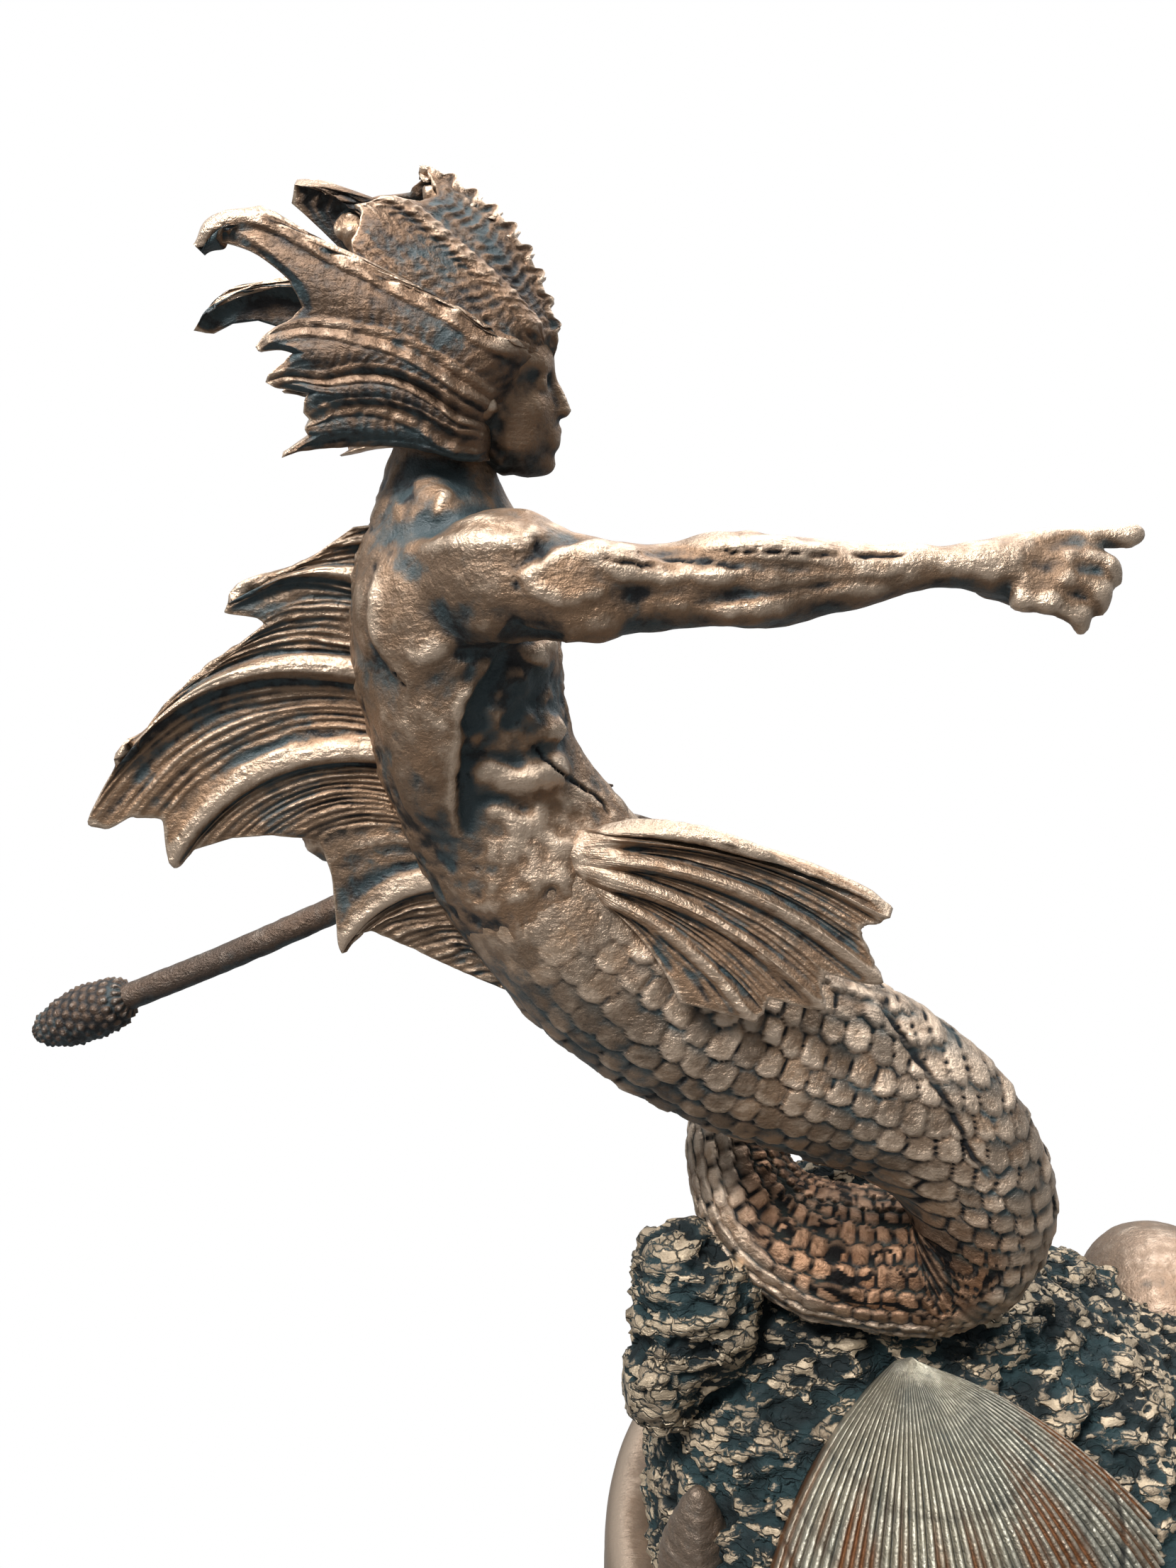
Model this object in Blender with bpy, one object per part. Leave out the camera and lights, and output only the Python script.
import bpy
import bmesh
import math
import numpy as np
from mathutils import Vector

# Merman statue on a shell-covered rock and a round plinth. Sizes in metres, points in millimetres.
MM = 0.001
FIT_GAP = 0.0003            # gap between pieces that touch
PLINTH_RADIUS = 0.105
PLINTH_HEIGHT = 0.022
PLINTH_EDGE = 0.003         # rounding of the plinth's rims
GROOVE_DEPTH = 0.0012
GROOVE_HEIGHT = 0.0022
GROOVE_PLACE = 0.62         # as a share of the plinth's height
PLINTH_SIDES = 56
FIGURE_SIDES = 16           # flats round the torso and tail
ARM_SIDES = 10
SCALE_ROW = 0.0072          # length of one row of scales along the tail
SCALE_STEP = 0.0006         # height of each row's edge
FIN_THICKNESS = 0.0024      # membranes of the fins
FIN_RIB = 0.0060            # thickness over a fin's rib
RIB_SPAN = 0.045            # half width of a rib as a share of its fin
FAR_FIN_DROP = 0.026        # the far hip fin hangs lower than the near one
SHAFT_RADIUS = 0.0036
POMMEL_RADIUS = 0.0078
PRONG_RADIUS = 0.0019
PRONG_SPACING = 0.0113      # from the middle prong to each outer prong
COCKLE_LENGTH = 0.075
COCKLE_WIDTH = 0.078
COCKLE_BULGE = 0.021
COCKLE_RIBS = 24
RIB_RELIEF = 0.0011
MOON_SHELL_RADIUS = 0.026
MUSSEL_LENGTH = 0.044
WHELK_LENGTH = 0.034

# Torso and tail from the neck to the tail's end: x, y, z, half size front to back, half size across.
SPINE = [
    (-138, 0, 299, 9, 9), (-139, 0, 291, 11.5, 11), (-139, 0, 284, 14, 17), (-138.5, 0, 276, 18, 25),
    (-138, 0, 265, 20.5, 28.5), (-136.5, 0, 251, 21.5, 27), (-134.5, 0, 237, 21, 23.5),
    (-129, 0, 222, 21.5, 20.5), (-119, 0, 206, 23.5, 22), (-105, 0, 189, 24.5, 23),
    (-88, 0, 175, 24, 22.5), (-70, 0, 165, 23, 22), (-50, -1, 157, 21.5, 21), (-31.5, -3, 147, 19.5, 19.5),
    (-19, -5, 132, 17.3, 17.5), (-17, -5, 118, 16, 17), (-24.5, -3, 107.5, 14, 18), (-37, 0, 105.5, 12.8, 19),
    (-52, 3, 106.5, 12.2, 19), (-63.5, 8, 110.5, 11.6, 17.5), (-70, 15, 118, 11, 15),
    (-71, 23, 126, 10.2, 12.5), (-66, 32, 131, 9.2, 10), (-56, 39, 133, 8.4, 8.8), (-42, 44, 129, 7.6, 7.8),
    (-29, 46, 117, 6.6, 6.6), (-20, 46, 102, 5.4, 5.4), (-14, 45, 88, 4.4, 4.4)]
SCALES_FROM, SCALES_TO = 8.2, 21.0      # stations of SPINE with rows of scales

# Arms, hands and fingers: x, y, z, half height, half width.
NEAR_ARM = [(-137, -20, 271, 9, 8), (-126, -27, 272.5, 12.5, 10.5), (-113, -30, 271, 10.2, 9.5),
            (-102, -30, 270.5, 8.4, 8), (-93, -30, 271, 7.9, 7.6), (-84, -30, 272.5, 8.8, 8),
            (-74, -30, 272, 8.4, 7.6), (-62, -31, 273, 6.4, 6), (-54, -31, 274, 5, 4.8),
            (-45, -31, 274.6, 3.9, 4.6), (-38, -31, 274.8, 4.8, 5.6), (-31, -31, 275, 6, 5),
            (-26, -31, 275, 5.4, 4)]
FAR_ARM = [(-140, 18, 268, 9, 8), (-151, 29, 266, 11, 10), (-157, 35, 254, 9, 9), (-166, 39, 238, 7.8, 7.8),
           (-174, 41, 222, 7.2, 7.2), (-178, 42, 208, 7.4, 7), (-174, 42, 200, 7.2, 6.8),
           (-166, 42.5, 196, 6.4, 6), (-157, 43, 193.5, 5.4, 5.4), (-150, 42, 192, 7.2, 8),
           (-144, 41, 193, 5.5, 7)]
FINGERS = [
    [(-33, -31, 277.6, 2.6, 2.6), (-27, -31, 279, 2.4, 2.4), (-19, -31.4, 279.8, 2, 2),
     (-8.6, -31.6, 280.6, 1.5, 1.5)],
    [(-32, -33, 275, 2.6, 2.6), (-23.5, -34, 276.5, 2.3, 2.3), (-16.5, -34.5, 275.5, 2, 2),
     (-14.5, -34, 271.5, 1.6, 1.6)],
    [(-32, -34.5, 272, 2.6, 2.6), (-24, -35.5, 272.8, 2.2, 2.2), (-18, -36, 270.8, 2, 2),
     (-17, -35.4, 266.5, 1.5, 1.5)],
    [(-33, -35.5, 269.6, 2.4, 2.4), (-27, -36.6, 269, 2.1, 2.1), (-21.5, -36.8, 266.8, 1.9, 1.9),
     (-20, -36, 263.4, 1.4, 1.4)],
    [(-36, -28, 272, 3, 3), (-30, -26.5, 270, 2.6, 2.6), (-24, -26.5, 268.6, 2.2, 2.2),
     (-19, -27.4, 267.4, 1.6, 1.6)]]
MUSCLES = [                 # x, y, z, then half sizes
    (-124, -26, 273, 13, 12, 12.5), (-146, -13, 263, 11, 13.5, 14), (-147, 12, 263, 11, 13.5, 14),
    (-126, -9, 258, 11, 15, 11), (-127, 12, 258, 11, 15, 11), (-140, -14, 247, 13, 12, 17),
    (-140, 14, 247, 13, 12, 17), (-121.5, 0, 235, 8, 13, 17), (-139, -8, 283, 10, 13, 6.5),
    (-121, -13.6, 232, 8.5, 7.4, 5.2), (-121, 13.6, 232, 8.5, 7.4, 5.2), (-121, -13, 240.4, 7.5, 7, 4),
    (-121, 13, 240.4, 7.5, 7, 4)]
CORDS = [                   # long muscles: path, half thickness, half width; each on both sides
    ([(-132, -23, 262), (-137.5, -22.6, 249), (-140, -18.6, 233), (-137, -13.5, 214)], 9.0, 5.6),
    ([(-151.5, -5, 277), (-153.5, -5.5, 258), (-150.5, -5.5, 240), (-143, -5.5, 222), (-133, -6, 206)],
     4.6, 4.4)]

# Fins: the root line and the outer edge, each from the first ray to the last, as x, y, z.
BACK_ROOT = [(-149, -3, 279), (-151, -3, 268), (-152, -3, 255), (-150, -3, 243), (-146, -3, 230),
             (-141, -3, 217), (-135, -3, 203), (-127, -3, 188), (-121, -3, 178)]
BACK_EDGE = [(-158, -4, 279), (-183, -6, 265.2), (-176.5, -6, 263), (-216.5, -9, 219), (-199.5, -8, 220.5),
             (-199, -8, 209), (-185, -7, 214.5), (-168, -5, 214.5), (-164, -5, 188), (-157.5, -5, 192.5),
             (-143, -4, 187), (-131.5, -4, 180)]
BACK_STOPS = [0, 0.13, 0.2, 0.36, 0.44, 0.52, 0.6, 0.68, 0.76, 0.83, 0.91, 1]
BACK_RIBS = [0.02, 0.13, 0.36, 0.52, 0.76, 0.97]
HIP_ROOT = [(-109, -16, 220), (-109.5, -18, 215), (-108, -19, 210), (-106, -19, 205)]
HIP_EDGE = [(-80, -26, 220), (-48.5, -28, 207), (-54, -28, 202.8), (-49, -29, 192.4), (-60.5, -28, 192.6),
            (-60.7, -28, 186), (-71.5, -27, 185.7), (-73, -27, 182.5), (-87, -26, 183)]
HIP_STOPS = [0, 0.22, 0.32, 0.45, 0.56, 0.67, 0.78, 0.88, 1]
HIP_RIBS = [0.04, 0.22, 0.45, 0.67, 0.9]
FLUKE_ROOT = [(-15, 49, 89), (-14, 47, 88), (-14, 43, 88), (-15, 41, 89)]
FLUKE_EDGE = [(-11, 66, 68), (4, 66, 61), (2, 53, 70), (0, 45, 73), (3, 37, 76), (10, 27, 77), (-5, 24, 80)]
FLUKE_STOPS = [0, 0.16, 0.38, 0.5, 0.62, 0.84, 1]
FLUKE_RIBS = [0.05, 0.25, 0.5, 0.75, 0.95]

# Head: solids as x, y, z with half sizes, then the crest's spines as x, y, z, half height, half width.
HEAD_SOLIDS = [(-133, 0, 314, 16.5, 13, 15.5), (-125.5, 0, 302, 10.5, 9.5, 11.5),
               (-119.5, 0, 294.5, 5, 5, 4.2), (-120.2, 0, 312.5, 5.6, 9.5, 3), (-142, 0, 310, 17, 14, 14)]
NOSE = [(-117.5, 0, 310.5, 1.4, 1.6), (-115.6, 0, 306, 1.6, 1.8), (-113.8, 0, 302.6, 2, 2.4),
        (-116, 0, 300.6, 1.4, 2.2)]
CREST = [
    [(-120, 0, 312, 6, 9), (-124, 0, 322, 8, 9.5), (-130, 0, 331, 8.5, 7.5), (-136, 0, 339, 6.5, 5),
     (-142, 0, 348, 1.2, 1.2)],
    [(-128, -7, 318, 6, 6), (-135, -9, 326, 6.5, 5), (-142, -10, 334, 5, 3.6), (-147.5, -9.5, 340, 1, 1)],
    [(-128, 7, 318, 6, 6), (-141, 9, 328, 7.5, 5), (-152.5, 11, 335.4, 6.5, 4), (-160, 12, 341.5, 4.6, 3),
     (-168, 12, 348, 1, 1)],
    [(-126, -9, 314, 6, 6), (-139.5, -13, 318.5, 6.6, 5.5), (-150, -14.5, 322.5, 6.2, 5),
     (-160, -14.5, 327, 5.2, 4), (-169, -14.5, 331.6, 3.2, 2.8), (-180.5, -14, 332, 0.9, 0.9)],
    [(-126, 8, 314, 6, 6), (-145, 13, 321, 8, 5), (-160, 15, 325, 7, 4.2), (-176, 16, 325.5, 4.8, 2.6),
     (-191.5, 16, 320.3, 1, 1)],
    [(-126, -10, 302, 4, 5), (-136, -13, 308.8, 4.8, 5), (-148, -15, 316, 5, 4.2),
     (-159.5, -15, 316.6, 3.6, 3), (-171, -14, 314.2, 1, 1)],
    [(-130, -11, 297.5, 4, 4.5), (-137, -13, 301.5, 4.2, 4.5), (-146, -15, 306.5, 4.6, 4.4),
     (-158, -15.5, 308.6, 3.6, 3.4), (-169.5, -14, 307, 1, 1)],
    [(-132, -11, 295.5, 3.6, 4.4), (-139, -13.5, 299.5, 4, 4.2), (-148, -15, 303.4, 3.8, 3.6),
     (-160, -14.5, 303, 1, 1)],
    [(-136, -9, 294.5, 3, 5), (-146, -12, 297, 3.8, 4.2), (-157, -13, 299, 4, 3), (-168, -12, 295.5, 1, 1)],
    [(-124, 9, 304, 4.4, 5), (-140, 14, 309.5, 6.4, 4.6), (-155, 16, 312, 5, 3.8), (-172, 15, 308, 1, 1)],
    [(-130, 9, 298, 4.4, 5), (-144, 13, 301, 5.4, 4.4), (-158, 14, 301, 4, 3.2), (-170, 13, 297, 1, 1)]]

# Trident: x, y, z along the shaft, which bends a little where the far hand hides it.
SHAFT = [(-236, 42, 153.6), (-205, 42, 166.6), (-173, 42, 181.4), (-151.5, 42, 192), (-130, 42, 196.8),
         (-112, 42, 200.6)]
POMMEL_LENGTH = 0.029
POMMEL_SINK = 4             # how far the pommel starts before the shaft's end, in mm
PRONG_END = (-92, 42, 204.4)
PRONG_SHORT = 0.0088        # how much shorter the outer prongs are
PRONG_TIP = 0.4             # radius of a prong's blunt tip, in mm

# Rock: height, then left, right, near and far edge of each level. The rock and the shells' places spread
# with the plinth: they are given for a plinth of this radius.
ROCK_PLINTH = 105
ROCK_LEVELS = [(22, -91, 91, -88, 88), (33, -92, 87, -80, 82), (45, -92, 80, -66, 76), (57, -91, 68, -50, 68),
               (68, -90, 50, -36, 58), (77, -89, 32, -25, 50), (84, -88, 17, -17, 44), (90, -84, 6, -10, 38),
               (94, -76, -4, -4, 32)]
ROCK_HUMPS = [              # the tall knob on the left and the mass behind the coil: place, then half sizes
    (-84, -4, 94, 16, 15, 20.5), (-90, -8, 82, 11, 12, 13), (-40, 33, 86, 27, 19, 21)]
ROCK_SIDES = 48
ROCK_STEPS = 2              # rings for each level
ROCK_SQUARE = 2.6           # 2 is a round mound, more is boxier
ROCK_INSET = 1.0            # from the plinth's rounding to the rock, in mm
ROCK_LUMPS = [(0.019, 0.0026, 91), (0.0085, 0.0017, 92)]    # size and height of the lumps, and their seed

# Shells: places and directions, then whorls, how much smaller each is, and how far it rises.
COCKLE_BEAK, COCKLE_DOWN, COCKLE_RIGHT = (-36, -13, 87), (0.19, -0.72, -0.66), (1, 0, 0.03)
COCKLE_OPENING = 47         # half angle of the fan, in degrees
COCKLE_WALL = 0.0034
MOON_PLACE, MOON_AXIS, MOON_WHORLS = (57, 40, 56), (0.8, -0.2, 0.45), (3, 0.56, 0.62)
WHELK_PLACE, WHELK_AXIS, WHELK_WHORLS = (30, -52, 60), (0.9, 0.1, 0.35), (4, 0.74, 0.78)
WHELK_GIRTH = 0.3           # radius of the first whorl, as a share of the shell's length
MUSSEL_PLACE, MUSSEL_HALF, MUSSEL_LIFT = (-84, -30), (9, 8), 1

PIECES = {                  # base colour, metallic, roughness
    "plinth": ((0.30, 0.235, 0.18), 0.75, 0.38), "rock_base": ((0.035, 0.05, 0.055), 0.45, 0.75),
    "cockle_shell": ((0.24, 0.24, 0.20), 0.55, 0.5), "mussel_shell": ((0.20, 0.15, 0.11), 0.6, 0.45),
    "moon_shell": ((0.32, 0.22, 0.15), 0.75, 0.35), "whelk_shell": ((0.28, 0.24, 0.19), 0.6, 0.45),
    "merman_body": ((0.26, 0.17, 0.105), 0.8, 0.42), "head_and_crest": ((0.25, 0.165, 0.105), 0.8, 0.43),
    "back_fin": ((0.22, 0.15, 0.10), 0.75, 0.46), "trident": ((0.12, 0.085, 0.065), 0.7, 0.5)}


def smooth_path(points, per_span):
    """Points of a smooth curve through the given stations, per_span steps for each gap."""
    pts = np.array(points, float)
    ext = np.vstack([2 * pts[0] - pts[1], pts, 2 * pts[-1] - pts[-2]])
    out = []
    for i in range(len(pts) - 1):
        p0, p1, p2, p3 = ext[i:i + 4]
        for k in range(per_span):
            t = k / per_span
            out.append(0.5 * (2 * p1 + (p2 - p0) * t + (2 * p0 - 5 * p1 + 4 * p2 - p3) * t * t
                              + (3 * p1 - p0 - 3 * p2 + p3) * t ** 3))
    out.append(pts[-1])
    return np.array(out)


def cell_value(ix, iy, iz, seed):
    """A fixed value from -1 to 1 for each cell of a lattice."""
    h = (ix * 73856093) ^ (iy * 19349663) ^ (iz * 83492791) ^ (seed * 40503 + 977)
    h = ((h ^ (h >> 13)) * 1274126177) & 0xffffffff
    h = ((h ^ (h >> 15)) * 668265263) & 0xffffffff
    return ((h ^ (h >> 16)) & 0xffff) / 32767.5 - 1


def lumps(points, size, seed):
    """Smooth random swelling from -1 to 1, with lumps of about the given size."""
    q = np.asarray(points, float) / size + 57.3
    base = np.floor(q).astype(np.int64)
    f = q - base
    f = f * f * (3 - 2 * f)
    total = np.zeros(len(q))
    for dx in (0, 1):
        for dy in (0, 1):
            for dz in (0, 1):
                weight = ((f[:, 0] if dx else 1 - f[:, 0]) * (f[:, 1] if dy else 1 - f[:, 1])
                          * (f[:, 2] if dz else 1 - f[:, 2]))
                total += weight * cell_value(base[:, 0] + dx, base[:, 1] + dy, base[:, 2] + dz, seed)
    return total


def new_object(name, verts, faces):
    mesh = bpy.data.meshes.new(name)
    mesh.from_pydata([tuple(float(c) * MM for c in v) for v in verts], [], faces)
    mesh.update()
    obj = bpy.data.objects.new(name, mesh)
    bpy.context.scene.collection.objects.link(obj)
    face_out(obj)
    return obj


def face_out(obj):
    bm = bmesh.new()
    bm.from_mesh(obj.data)
    bmesh.ops.recalc_face_normals(bm, faces=bm.faces)
    if bm.calc_volume(signed=True) < 0:
        bmesh.ops.reverse_faces(bm, faces=bm.faces)
    bm.to_mesh(obj.data)
    bm.free()


def ring_faces(rows, sides):
    """Faces of a body made of rings, with a cap at each end."""
    faces = []
    for a in range(0, (rows - 1) * sides, sides):
        b = a + sides
        faces += [(a + k, a + (k + 1) % sides, b + (k + 1) % sides, b + k) for k in range(sides)]
    return faces + [tuple(reversed(range(sides))), tuple((rows - 1) * sides + k for k in range(sides))]


def sheet_faces(n, m):
    """Faces of a sheet: the front's n lines of m points, the back's after them, and the rim between."""
    front = [(i * m + j, (i + 1) * m + j, (i + 1) * m + j + 1, i * m + j + 1)
             for i in range(n - 1) for j in range(m - 1)]
    back = [tuple(n * m + q for q in reversed(f)) for f in front]
    loop = [i * m for i in range(n)] + [(n - 1) * m + j for j in range(1, m)]
    loop += [i * m + m - 1 for i in range(n - 2, -1, -1)] + list(range(m - 2, 0, -1))
    rim = [(a, b, n * m + b, n * m + a) for a, b in zip(loop, loop[1:] + loop[:1])]
    return front + back + rim


def on_rock(place):
    """A place on the rock, which spreads with the plinth."""
    spread = PLINTH_RADIUS / MM / ROCK_PLINTH
    return (place[0] * spread, place[1] * spread, *place[2:])


def tube(name, stations, sides, side_axis=(0, 1, 0)):
    """Closed body round a path. Each station has x, y, z, half size along the normal, half size across."""
    st = np.array(stations, float)
    centre, half = st[:, :3], st[:, 3:5]
    tangent = np.gradient(centre, axis=0)
    tangent /= np.linalg.norm(tangent, axis=1)[:, None]
    across = np.array(side_axis, float)
    verts = []
    for c, t, (up, wide) in zip(centre, tangent, half):
        across = across - t * across.dot(t)
        across /= np.linalg.norm(across)
        normal = np.cross(t, across)
        for k in range(sides):
            a = 2 * math.pi * k / sides
            verts.append(c + normal * up * math.cos(a) + across * wide * math.sin(a))
    return new_object(name, verts, ring_faces(len(st), sides))


def ball(name, centre, half, segments=14, rings=9):
    x, y, z = centre
    verts = [(x, y, z + half[2])]
    for r in range(1, rings):
        lat = math.pi * r / rings
        wide, tall = math.sin(lat), math.cos(lat)
        for k in range(segments):
            lon = 2 * math.pi * k / segments
            verts.append((x + half[0] * wide * math.cos(lon), y + half[1] * wide * math.sin(lon),
                          z + half[2] * tall))
    verts.append((x, y, z - half[2]))
    last = len(verts) - 1
    faces = [(0, 1 + k, 1 + (k + 1) % segments) for k in range(segments)]
    for r in range(rings - 2):
        a, b = 1 + r * segments, 1 + (r + 1) * segments
        faces += [(a + k, b + k, b + (k + 1) % segments, a + (k + 1) % segments) for k in range(segments)]
    a = 1 + (rings - 2) * segments
    faces += [(a + k, last, a + (k + 1) % segments) for k in range(segments)]
    return new_object(name, verts, faces)


def on_line(points, stops, where):
    """Point of a polyline at a position between 0 and 1, where stops gives each point's position."""
    pts = np.array(points, float)
    return np.array([np.interp(where, stops, pts[:, i]) for i in range(3)])


def fin(name, root, edge, stops, ribs, columns, rows, droop=0.0):
    """Membrane from a root line to an outer edge, thicker over its ribs."""
    thin, thick = FIN_THICKNESS, FIN_RIB
    root_stops = np.linspace(0, 1, len(root))
    sides = [r + step for r in ribs for step in (-RIB_SPAN, 0, RIB_SPAN) if 0 <= r + step <= 1]
    places = [0.0]
    for u in sorted(list(np.linspace(0, 1, columns)) + list(stops) + sides):
        if u - places[-1] > RIB_SPAN * 0.4:
            places.append(u)
    places[-1] = 1.0
    grid = []
    for u in places:
        a, b = on_line(root, root_stops, u), on_line(edge, stops, u)
        line = [a + (b - a) * v + np.array([0, 0, -droop * math.sin(math.pi * v)])
                for v in np.linspace(0, 1, rows)]
        width = thin + (thick - thin) * max(0.0, 1 - min(abs(u - r) for r in ribs) / RIB_SPAN)
        grid.append([(p, (width * (1 - 0.55 * v)) / MM / 2) for p, v in zip(line, np.linspace(0, 1, rows))])
    flat = np.array(edge[len(edge) // 2], float) - np.array(root[0], float)
    normal = np.cross(flat, np.array(root[-1], float) - np.array(root[0], float))
    normal /= np.linalg.norm(normal)
    verts = [p + normal * h * s for s in (1, -1) for column in grid for p, h in column]
    return new_object(name, verts, sheet_faces(len(grid), rows))


def combine(target, other, operation, crossing=False):
    mod = target.modifiers.new(operation.title(), "BOOLEAN")
    mod.operation, mod.solver, mod.object = operation, "EXACT", other
    mod.use_self = crossing
    bpy.context.view_layer.update()
    result = bpy.data.meshes.new_from_object(target.evaluated_get(bpy.context.evaluated_depsgraph_get()))
    target.modifiers.clear()
    old = target.data
    target.data = result
    bpy.data.meshes.remove(old)
    bpy.data.objects.remove(other, do_unlink=True)
    return target


def join(target, others, crossing=False):
    for other in others:
        combine(target, other, "UNION", crossing)
    return target


def grown(obj, gap=FIT_GAP):
    """A copy of a body, larger all round by a gap, to cut its seat in a neighbour."""
    copy = bpy.data.objects.new(obj.name + "_seat", obj.data.copy())
    bpy.context.scene.collection.objects.link(copy)
    bm = bmesh.new()
    bm.from_mesh(copy.data)
    bm.normal_update()
    moved = [(v, v.co + v.normal * gap * min(v.calc_shell_factor(), 2.0)) for v in bm.verts]
    for v, co in moved:
        v.co = co
    bm.to_mesh(copy.data)
    bm.free()
    copy.hide_render, copy.display_type = True, "WIRE"
    return copy


def seat(target, neighbour):
    """Cuts the room that a neighbour needs out of a piece."""
    return combine(target, grown(neighbour), "DIFFERENCE")


def largest(obj):
    """Keeps the main body of a piece where a cut left crumbs."""
    bm = bmesh.new()
    bm.from_mesh(obj.data)
    left, groups = set(bm.verts), []
    while left:
        stack, group = [left.pop()], []
        while stack:
            v = stack.pop()
            group.append(v)
            for e in v.link_edges:
                w = e.other_vert(v)
                if w in left:
                    left.remove(w)
                    stack.append(w)
        groups.append(group)
    groups.sort(key=len)
    for group in groups[:-1]:
        bmesh.ops.delete(bm, geom=group, context="VERTS")
    bm.to_mesh(obj.data)
    bm.free()
    return obj


def finish(obj, angle=40):
    colour, metal, rough = PIECES[obj.name]
    mat = bpy.data.materials.new(obj.name)
    mat.use_nodes = True
    shader = mat.node_tree.nodes["Principled BSDF"]
    shader.inputs["Base Color"].default_value = (*colour, 1)
    shader.inputs["Metallic"].default_value = metal
    shader.inputs["Roughness"].default_value = rough
    mat.diffuse_color = (*colour, 1)
    obj.data.materials.clear()
    obj.data.materials.append(mat)
    obj.data.polygons.foreach_set("use_smooth", [True] * len(obj.data.polygons))
    obj.data.set_sharp_from_angle(angle=math.radians(angle))
    obj.data.update()


def figure():
    """Torso, arms, hands, tail, hip fins and fluke, cast as one piece."""
    fine = smooth_path(SPINE, 40)
    steps = np.linalg.norm(np.diff(fine[:, :3], axis=0), axis=1)
    length = np.concatenate([[0], np.cumsum(steps)])
    start, stop = length[int(SCALES_FROM * 40)], length[int(SCALES_TO * 40)]
    rows = max(4, round((stop - start) * MM / SCALE_ROW))
    stations = [fine[i * 40] for i in range(int(SCALES_FROM) + 1)]

    def pick(distance):
        return np.array([np.interp(distance, length, fine[:, c]) for c in range(5)])
    for r in range(rows):
        fade = min(1.0, (r + 1) / 4)
        low, high = start + (stop - start) * r / rows, start + (stop - start) * (r + 0.86) / rows
        first, last = pick(low), pick(high)
        last[3:] += SCALE_STEP / MM * fade
        stations += [first, last]
    stations.append(pick(stop))
    stations += [fine[i * 40] for i in range(int(SCALES_TO) + 1, len(SPINE))]
    body = tube("merman_body", stations, FIGURE_SIDES)
    parts = [ball("muscle", m[:3], m[3:], 10, 7) for m in MUSCLES]
    for path, thick, wide in CORDS:
        for side in (1, -1):
            line = smooth_path([(x, y * side, z) for x, y, z in path], 2)
            swell = np.sin(math.pi * np.linspace(0.06, 0.94, len(line))) ** 0.7
            parts.append(tube("muscle", np.column_stack([line, thick * swell, wide * swell]), 8))
    parts.append(tube("near_arm", NEAR_ARM, ARM_SIDES))
    parts.append(tube("far_arm", FAR_ARM, ARM_SIDES))
    parts += [tube("finger", f, 7) for f in FINGERS]
    parts.append(fin("hip_fin", HIP_ROOT, HIP_EDGE, HIP_STOPS, HIP_RIBS, 7, 4, droop=-2))
    drop = FAR_FIN_DROP / MM
    far_root = [(x, -y, z - drop * 0.3) for x, y, z in HIP_ROOT]
    far_edge = [(x - 4, -y, z - drop) for x, y, z in HIP_EDGE]
    parts.append(fin("far_hip_fin", far_root, far_edge, HIP_STOPS, HIP_RIBS, 7, 4, droop=-2))
    parts.append(fin("fluke", FLUKE_ROOT, FLUKE_EDGE, FLUKE_STOPS, FLUKE_RIBS, 9, 4))
    return join(body, parts)


def head():
    solid = ball("head_and_crest", HEAD_SOLIDS[0][:3], HEAD_SOLIDS[0][3:], 16, 10)
    parts = [ball("face", s[:3], s[3:], 12, 8) for s in HEAD_SOLIDS[1:]]
    parts.append(tube("nose", NOSE, 8))
    parts += [tube("spine_" + str(i), smooth_path(c, 2), 8) for i, c in enumerate(CREST)]
    return join(solid, parts, crossing=True)


def trident():
    shaft = tube("trident", [(*p, SHAFT_RADIUS / MM, SHAFT_RADIUS / MM) for p in SHAFT], 12)
    tail, direction = np.array(SHAFT[0], float), np.array(SHAFT[0], float) - np.array(SHAFT[1], float)
    direction /= np.linalg.norm(direction)
    swell = [(0.0, 0.5), (0.16, 0.86), (0.4, 1.0), (0.65, 0.86), (0.86, 0.55), (1.0, 0.16)]
    length, radius = POMMEL_LENGTH / MM, POMMEL_RADIUS / MM
    pommel = [(*(tail + direction * (length * s - POMMEL_SINK)), radius * w, radius * w) for s, w in swell]
    neck, end = np.array(SHAFT[-1], float), np.array(PRONG_END, float)
    ahead = (end - neck) / np.linalg.norm(end - neck)
    up = np.array([-ahead[2], 0, ahead[0]])
    wide, thick, short = PRONG_SPACING / MM, PRONG_RADIUS / MM, PRONG_SHORT / MM
    middle = tube("prong", [(*(neck - ahead * 3), thick * 1.4, thick * 1.4),
                            (*(end - ahead * 6), thick, thick), (*end, PRONG_TIP, PRONG_TIP)], 8)
    parts = [tube("pommel", pommel, 12), middle]
    for side in (1, -1):
        out = up * side * wide
        path = [neck - up * side, neck - ahead * 1 + out * 0.55, neck + ahead * 3 + out,
                end - ahead * (short + 4) + out, end - ahead * short + out]
        width = [thick * 1.3, thick * 1.2, thick, thick * 0.9, PRONG_TIP]
        parts.append(tube("prong", [(*p, w, w) for p, w in zip(path, width)], 8))
    return join(shaft, parts)


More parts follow.
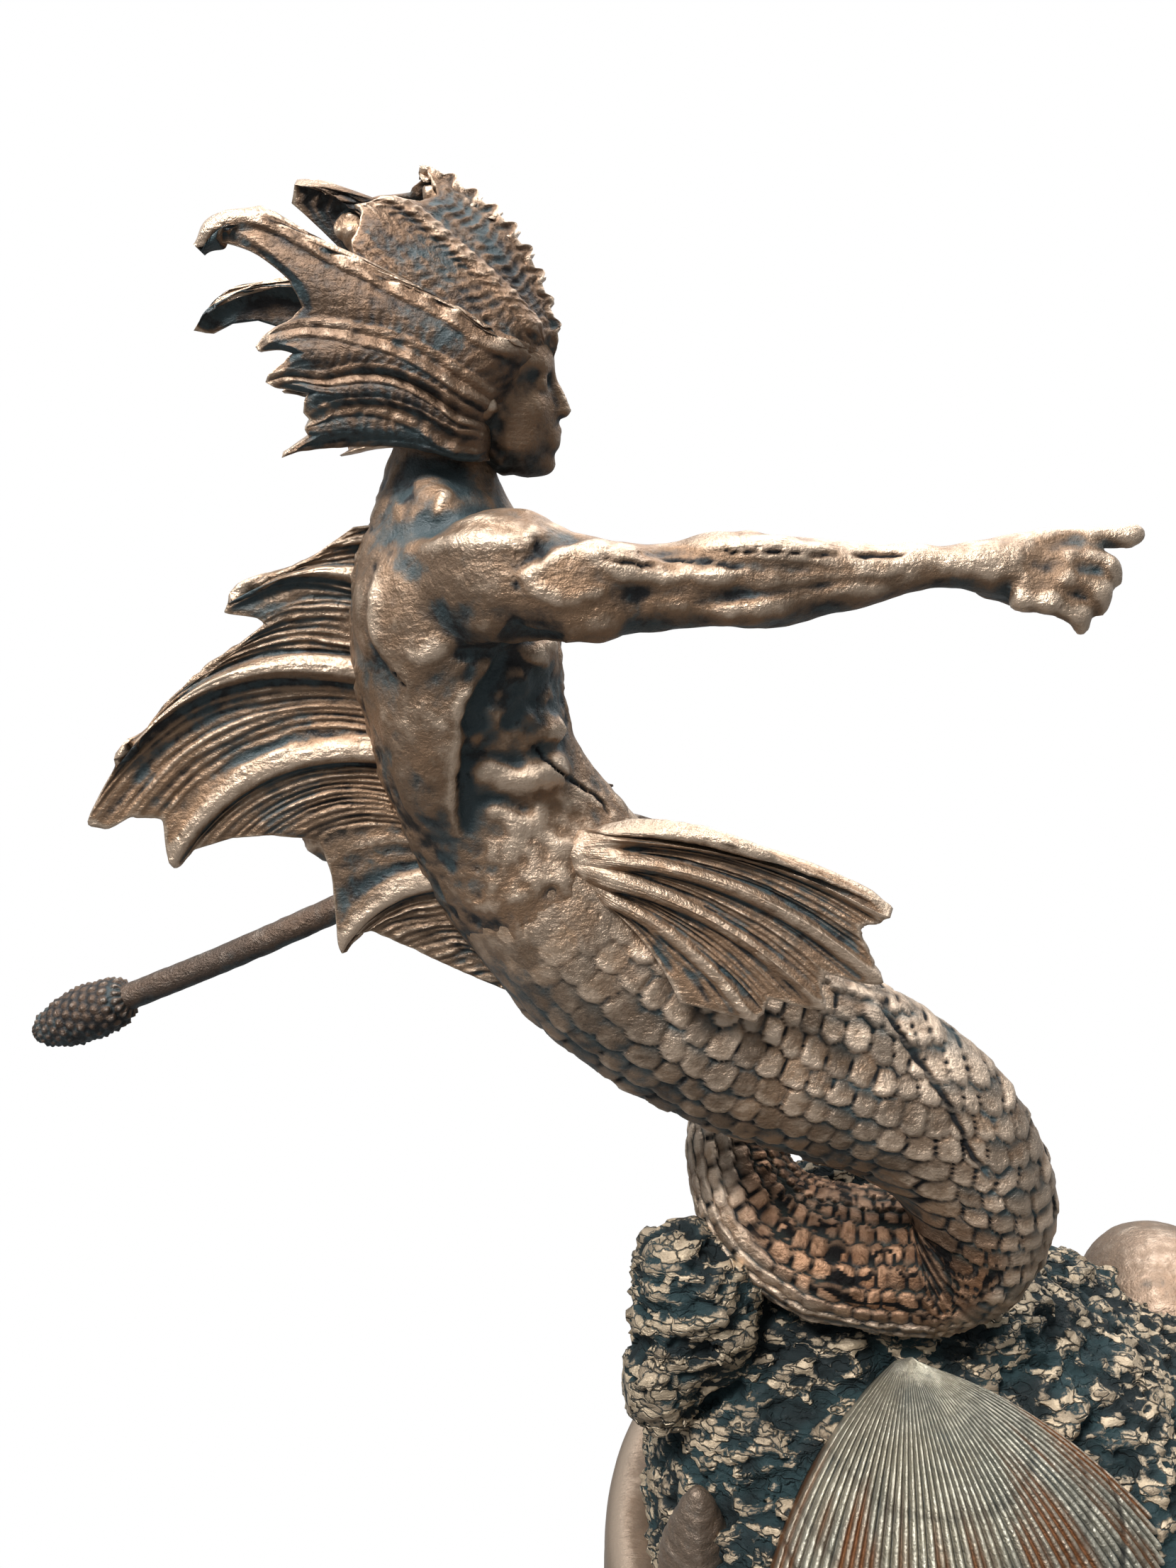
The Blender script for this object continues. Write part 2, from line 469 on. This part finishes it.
def rock():
    """Rough mound: level rings with the rock's larger lumps, closed below by a flat foot on the plinth."""
    foot = (PLINTH_HEIGHT + FIT_GAP) / MM
    levels = smooth_path(ROCK_LEVELS, ROCK_STEPS)
    levels[:, 0] += foot - ROCK_LEVELS[0][0]
    levels[:, 1:] *= PLINTH_RADIUS / MM / ROCK_PLINTH
    turn = np.arange(ROCK_SIDES) / ROCK_SIDES * 2 * math.pi
    c, s = np.cos(turn), np.sin(turn)
    boxy = (np.abs(c) ** ROCK_SQUARE + np.abs(s) ** ROCK_SQUARE) ** (-1 / ROCK_SQUARE)
    rings = [np.column_stack([(left + right) / 2 + (right - left) / 2 * c * boxy,
                              (near + far) / 2 + (far - near) / 2 * s * boxy, z + 0 * c])
             for z, left, right, near, far in levels]
    reach = (PLINTH_RADIUS - PLINTH_EDGE) / MM - ROCK_INSET
    top_ring = rings[-1]
    middle = top_ring.mean(axis=0)
    rings += [top_ring * (1 - t) + middle * t - np.array([0, 0, 2 * t]) for t in (0.4, 0.75, 0.96)]
    verts = np.vstack(rings)
    faces = ring_faces(len(rings), ROCK_SIDES)
    body = new_object("rock_base", verts, faces)
    roughen(body, foot, reach)
    humps = [ball("hump", on_rock(h[:3]), h[3:], 16, 12) for h in ROCK_HUMPS]
    for hump in humps:
        roughen(hump, foot, reach)
    return join(body, humps)


def roughen(obj, foot, reach):
    """Moves the points of a piece of rock in and out by the lumps, above its foot and within its reach."""
    points = obj.data.vertices
    for size, tall, seed in ROCK_LUMPS:
        place = np.array([p.co for p in points]) / MM
        normal = np.array([p.normal for p in points])
        fold = 1 - 2 * np.abs(lumps(place, size / MM * 1.25, seed + 5))
        rise = np.clip((place[:, 2] - foot) / 3.5, 0, 1)
        lift = tall / MM * (0.45 * lumps(place, size / MM, seed) + 0.55 * fold - 0.1) * (0.25 + 0.75 * rise)
        on_foot = place[:, 2] < foot + 0.01
        place += normal * lift[:, None]
        place[:, 2] = np.where(on_foot, foot, np.maximum(place[:, 2], foot))
        place[:, :2] *= np.minimum(1, reach / np.maximum(np.hypot(place[:, 0], place[:, 1]), 1))[:, None]
        points.foreach_set("co", (place * MM).ravel())
        obj.data.update()


def cockle():
    """Ribbed fan shell leaning on the near side of the rock."""
    down = np.array(COCKLE_DOWN, float)
    down /= np.linalg.norm(down)
    right = np.array(COCKLE_RIGHT, float)
    right -= down * right.dot(down)
    right /= np.linalg.norm(right)
    out = np.cross(down, right)
    out *= math.copysign(1, -out[1])
    beak = np.array(on_rock(COCKLE_BEAK), float)
    length, width, bulge = COCKLE_LENGTH / MM, COCKLE_WIDTH / MM, COCKLE_BULGE / MM
    columns, rows = COCKLE_RIBS * 2 + 1, 6
    front, back = [], []
    opening, wall = math.radians(COCKLE_OPENING), COCKLE_WALL / MM
    for j in range(rows):
        v = 0.04 + 0.96 * (j / (rows - 1)) ** 0.9
        for i in range(columns):
            a = (i / (columns - 1) - 0.5) * 2
            reach = length * v * (1 - 0.24 * abs(a) ** 2.4)
            turn = a * opening * (1 + 0.38 * (1 - v))
            side, along = reach * math.sin(turn) * width / length, reach * math.cos(turn)
            dome = bulge * math.sin(math.pi * min(1, 0.16 + 0.8 * v)) ** 0.7 * max(0.02, 1 - a * a) ** 0.62
            ridge = RIB_RELIEF / MM * (i % 2) * v
            p = beak + right * side + down * along
            front.append(p + out * (dome + ridge + wall - 1))
            back.append(p + out * max(dome * 0.2 - 1, -1))
    return new_object("cockle_shell", front + back, sheet_faces(rows, columns))


def snail_shell(name, centre, radius, axis, whorls, squash=0.9):
    """Snail shell: rounded whorls, each smaller than the last, one above the other along an axis."""
    count, shrink, rise = whorls
    ahead = np.array(axis, float) / np.linalg.norm(axis)
    turned = Vector((0, 0, 1)).rotation_difference(Vector(ahead)).to_matrix()
    place, size, made = np.array(centre, float), radius, []
    for k in range(count):
        whorl = ball(name, (0, 0, 0), (size, size, size * squash), 16 - 2 * k, 10 - k)
        for v in whorl.data.vertices:
            v.co = turned @ v.co + Vector(place * MM)
        made.append(whorl)
        place = place + ahead * size * rise
        size *= shrink
    return join(made[0], made[1:])


def plinth():
    radius, top, edge = PLINTH_RADIUS / MM, PLINTH_HEIGHT / MM, PLINTH_EDGE / MM
    groove, tall = GROOVE_DEPTH / MM, GROOVE_HEIGHT / MM
    middle = top * GROOVE_PLACE
    outline = [(radius - edge, 0), (radius - edge * 0.3, edge * 0.3), (radius, edge),
               (radius, middle - tall / 2), (radius - groove, middle - tall / 4),
               (radius - groove, middle + tall / 4), (radius, middle + tall / 2),
               (radius - edge * 0.15, top - edge), (radius - edge * 0.5, top - edge * 0.35),
               (radius - edge * 1.3, top)]
    turn = np.arange(PLINTH_SIDES) / PLINTH_SIDES * 2 * math.pi
    verts = [(r * math.cos(a), r * math.sin(a), z) for r, z in outline for a in turn]
    return new_object("plinth", verts, ring_faces(len(outline), PLINTH_SIDES))


def build():
    for obj in list(bpy.data.objects):
        bpy.data.objects.remove(obj, do_unlink=True)
    base = plinth()
    stone = rock()
    fan = cockle()
    moon = snail_shell("moon_shell", on_rock(MOON_PLACE), MOON_SHELL_RADIUS / MM, MOON_AXIS, MOON_WHORLS)
    whelk = snail_shell("whelk_shell", on_rock(WHELK_PLACE), WHELK_LENGTH / MM * WHELK_GIRTH,
                        WHELK_AXIS, WHELK_WHORLS)
    half = MUSSEL_LENGTH / MM / 2
    place = on_rock((*MUSSEL_PLACE, PLINTH_HEIGHT / MM + half + MUSSEL_LIFT))
    mussel = ball("mussel_shell", place, (*MUSSEL_HALF, half), 14, 10)
    man = figure()
    top = head()
    spear = trident()
    sail = fin("back_fin", BACK_ROOT, BACK_EDGE, BACK_STOPS, BACK_RIBS, 9, 5)
    seat(man, spear)
    largest(man)
    largest(seat(top, man))
    largest(seat(seat(sail, man), top))
    for piece in (man, fan, moon, mussel, whelk):
        seat(stone, piece)
    largest(stone)
    for obj in (base, stone, fan, moon, mussel, whelk, man, top, spear, sail):
        finish(obj)


build()
